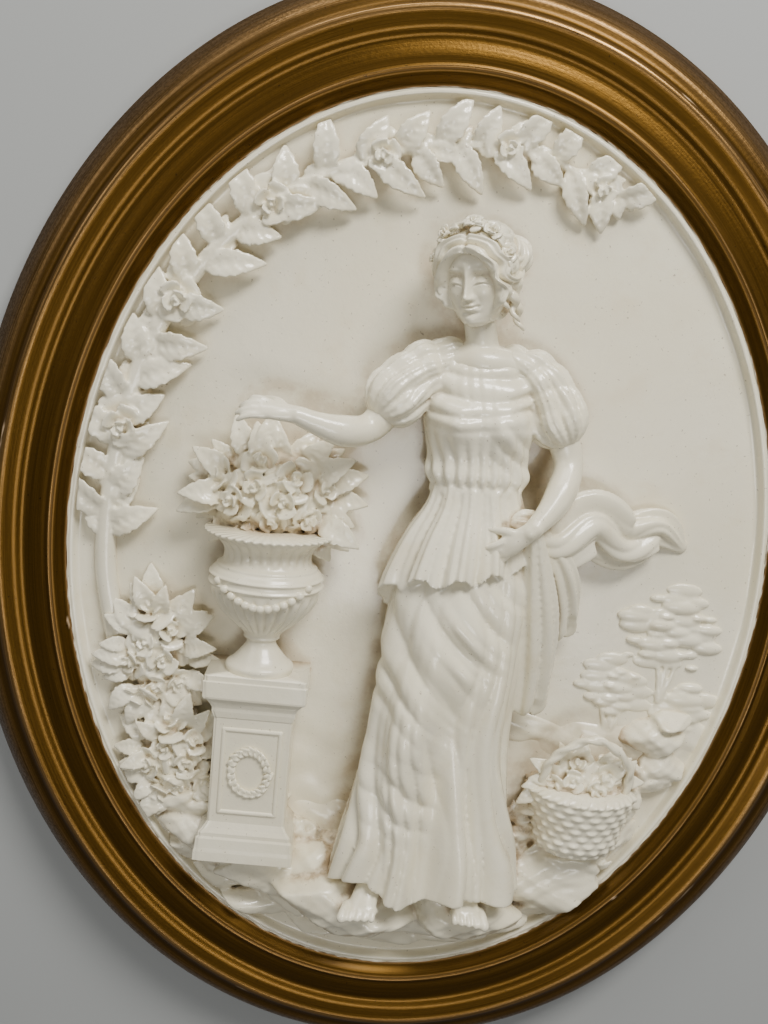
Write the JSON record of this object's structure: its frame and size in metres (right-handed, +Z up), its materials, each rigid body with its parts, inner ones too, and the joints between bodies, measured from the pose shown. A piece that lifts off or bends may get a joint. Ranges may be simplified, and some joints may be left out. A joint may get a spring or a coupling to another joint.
{
  "type": "relief plaque",
  "caption": "Oval wall plaque: high-relief cream plaster panel of a garden figure with urn, roses and rocks, in a moulded bronze-gold oval frame.",
  "frame": {"origin": "point on the frame's flat back, in the middle of the band at the top, where the plaque hangs", "axes": "+Z up along the oval's long axis, +Y out of the back towards the wall, -Y out of the front"},
  "size_m": [0.4674, 0.0733, 0.5716],
  "materials": {
    "gilt": "bronze-gold paint, satin, rubbed and chipped",
    "cream": "gloss cream paint over cast plaster, tan patina in the hollows"
  },
  "bodies": {
    "root": {"gilt_frame": "gilt", "relief_panel": "cream"}
  },
  "joints": []
}
